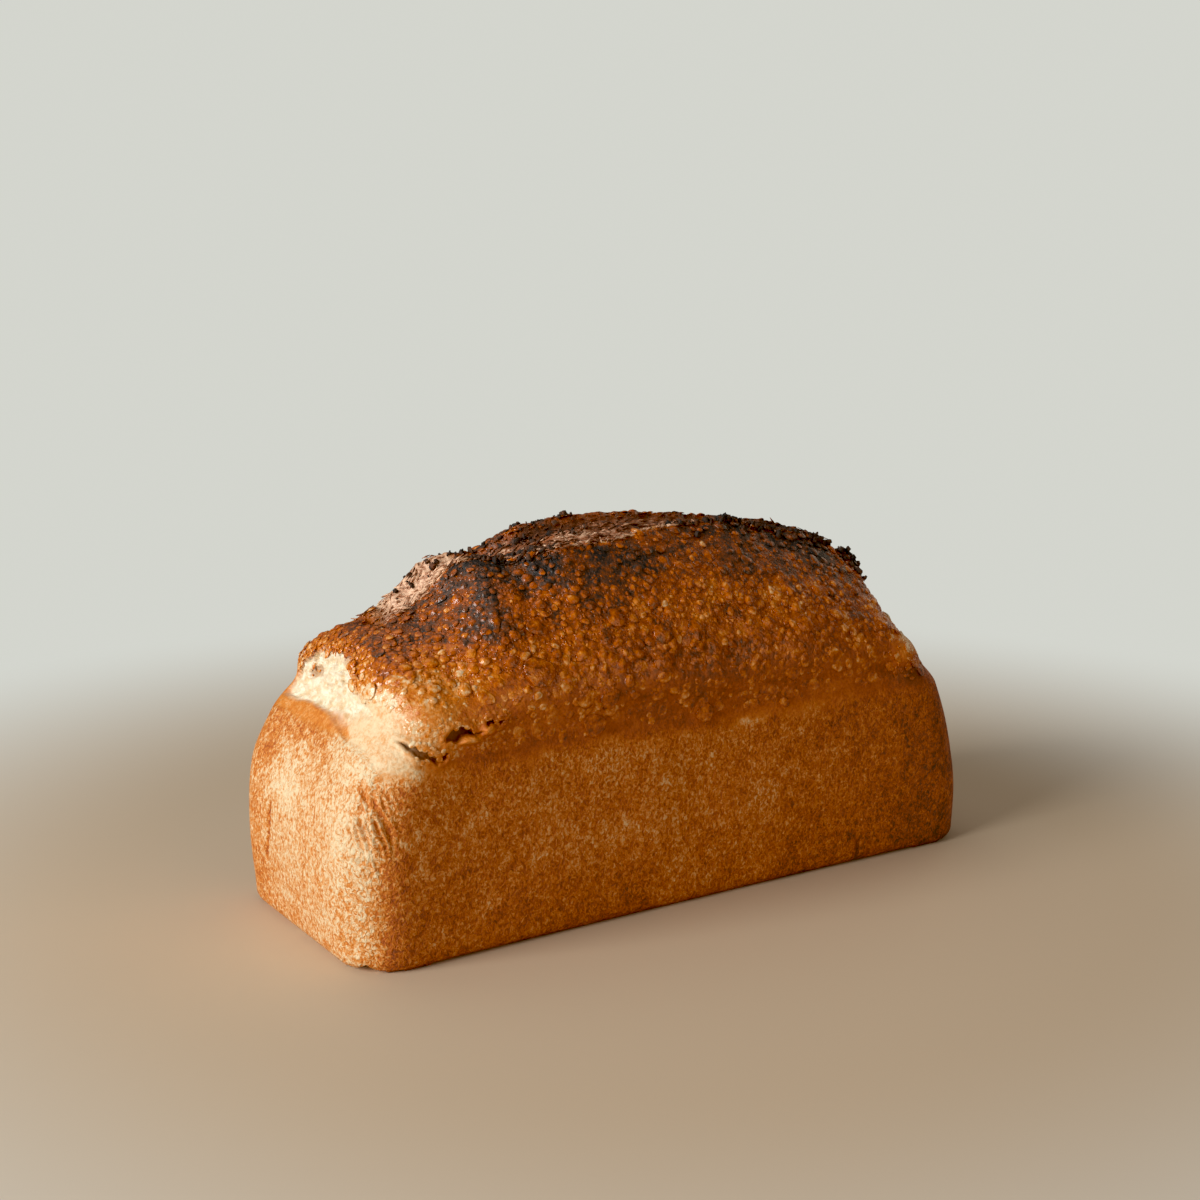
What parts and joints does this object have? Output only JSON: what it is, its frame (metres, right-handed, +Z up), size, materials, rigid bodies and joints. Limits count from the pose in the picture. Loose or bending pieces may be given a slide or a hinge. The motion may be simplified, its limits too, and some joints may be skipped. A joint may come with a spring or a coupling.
{
  "type": "tin loaf",
  "caption": "Long sourdough loaf baked in a tin, with upright smooth sides, a high domed crust opened lengthwise along the top and a torn left end.",
  "frame": {"origin": "middle of the loaf's flat underside, at the centre of its bounding box", "axes": "+X along the loaf towards its plain right end, +Y across it away from the long side with the tears, +Z up"},
  "size_m": [0.2522, 0.0978, 0.1267],
  "materials": {
    "crust": "baked crust, satin on the dome and matte on the tin sides"
  },
  "bodies": {
    "root": {"loaf": "crust"}
  },
  "joints": []
}
